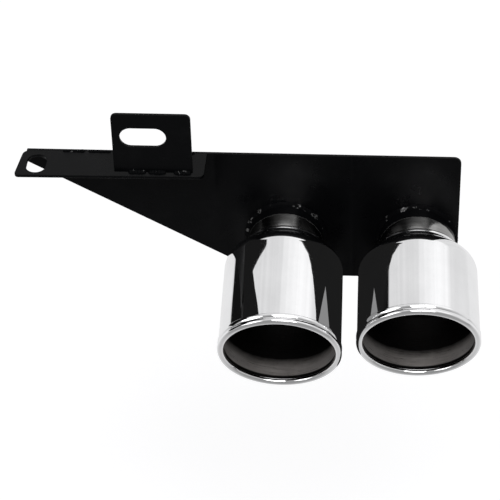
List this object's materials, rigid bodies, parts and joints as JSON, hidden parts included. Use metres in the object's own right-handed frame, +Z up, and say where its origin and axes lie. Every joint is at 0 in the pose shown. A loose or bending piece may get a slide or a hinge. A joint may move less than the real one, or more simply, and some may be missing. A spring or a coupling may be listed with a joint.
{
  "type": "twin exhaust tip",
  "caption": "Twin polished exhaust tip: bottle-shaped double-wall tips with rolled lips, welded through a black bracket plate with a slotted shelf ear and upright tab.",
  "frame": {"origin": "middle of the slot in the upright tab, on the tab's front face", "axes": "+Z up, -Y out of the tips' mouths in plan, +X along the bracket from its ear to the right tip"},
  "size_m": [0.287, 0.113, 0.1682],
  "materials": {
    "black_paint": "semi-gloss black coating",
    "painted_weld": "weld bead under black coating",
    "polished_shell": "mirror polished stainless steel",
    "neck_steel": "turned tube",
    "liner_steel": "brushed inside wall",
    "bright_weld": "bare weld bead"
  },
  "bodies": {
    "root": {"mounting_plate": "black_paint", "hanger_strip": "black_paint", "hanger_tab": "black_paint", "left_neck_tube": "neck_steel", "right_neck_tube": "neck_steel", "left_tip_shell": "polished_shell", "right_tip_shell": "polished_shell", "left_liner": "liner_steel", "right_liner": "liner_steel", "left_plate_weld": "painted_weld", "right_plate_weld": "painted_weld", "left_collar_weld": "bright_weld", "right_collar_weld": "bright_weld", "tab_weld": "painted_weld", "strip_weld": "painted_weld"}
  },
  "joints": []
}
